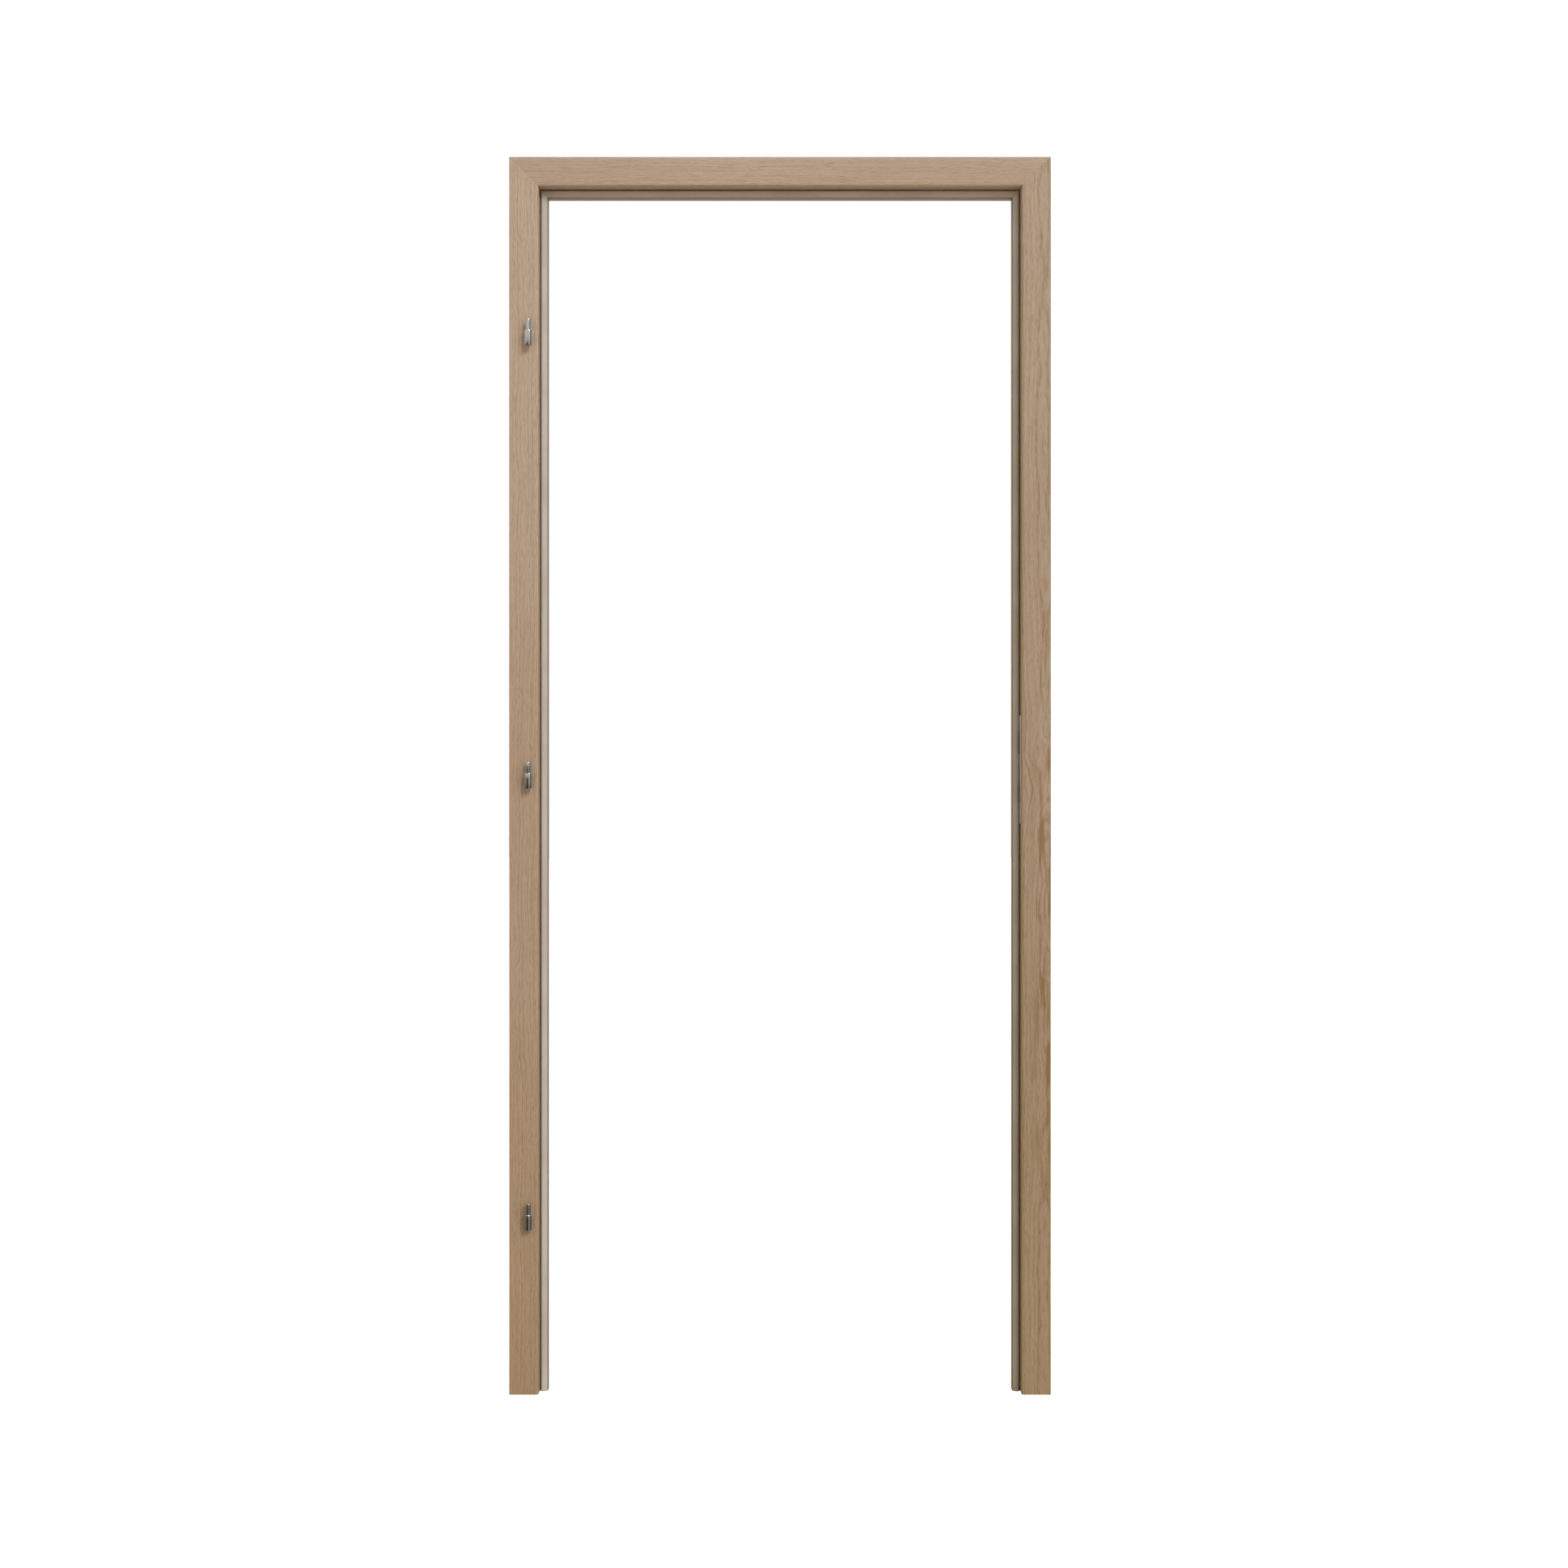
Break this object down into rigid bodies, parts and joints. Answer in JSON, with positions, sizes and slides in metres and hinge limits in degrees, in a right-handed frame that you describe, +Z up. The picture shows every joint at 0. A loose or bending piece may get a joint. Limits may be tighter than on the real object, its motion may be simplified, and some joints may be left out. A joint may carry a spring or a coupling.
{
  "type": "door frame",
  "caption": "Oak door frame for a rebated leaf: mitred casings, stop with seal, hinge pins, strike plate and an adjustable rear lining.",
  "frame": {"origin": "on the floor, under the middle of the whole frame's width and depth", "axes": "+X towards the strike side, +Y through the doorway away from the hinge face, +Z up"},
  "size_m": [0.928, 0.117, 2.12],
  "materials": {
    "oak_veneer": "matt open-grain oak",
    "seal_rubber": "matt grey-beige",
    "polished_nickel": "polished",
    "satin_nickel": "satin",
    "zinc_steel": "bright zinc",
    "black_plastic": "matt"
  },
  "bodies": {
    "frame": {"hinge_side_beam": "oak_veneer", "hinge_side_front_casing": "oak_veneer", "hinge_side_seal": "seal_rubber", "strike_side_beam": "oak_veneer", "strike_side_front_casing": "oak_veneer", "strike_side_seal": "seal_rubber", "head_beam": "oak_veneer", "head_front_casing": "oak_veneer", "head_seal": "seal_rubber", "upper_hinge_barrel": "polished_nickel", "upper_hinge_pin": "polished_nickel", "upper_hinge_studs": "zinc_steel", "middle_hinge_barrel": "polished_nickel", "middle_hinge_pin": "polished_nickel", "middle_hinge_studs": "zinc_steel", "lower_hinge_barrel": "polished_nickel", "lower_hinge_pin": "polished_nickel", "lower_hinge_studs": "zinc_steel", "strike_plate": "satin_nickel", "strike_screws": "satin_nickel", "strike_dust_box": "black_plastic", "hinge_side_corner_bracket": "zinc_steel", "hinge_side_front_mitre_plate": "zinc_steel", "strike_side_corner_bracket": "zinc_steel", "strike_side_front_mitre_plate": "zinc_steel", "corner_bracket_screws": "zinc_steel", "front_mitre_screws": "zinc_steel"},
    "rear_lining": {"hinge_side_lining_tongue": "oak_veneer", "hinge_side_rear_casing": "oak_veneer", "strike_side_lining_tongue": "oak_veneer", "strike_side_rear_casing": "oak_veneer", "head_lining_tongue": "oak_veneer", "head_rear_casing": "oak_veneer", "hinge_side_rear_mitre_plate": "zinc_steel", "strike_side_rear_mitre_plate": "zinc_steel", "rear_mitre_screws": "zinc_steel"}
  },
  "joints": [
    {"name": "lining_adjustment", "type": "slide", "parent": "frame", "child": "rear_lining", "axis": [0, 1, 0], "range_m": [0, 0.02]}
  ]
}
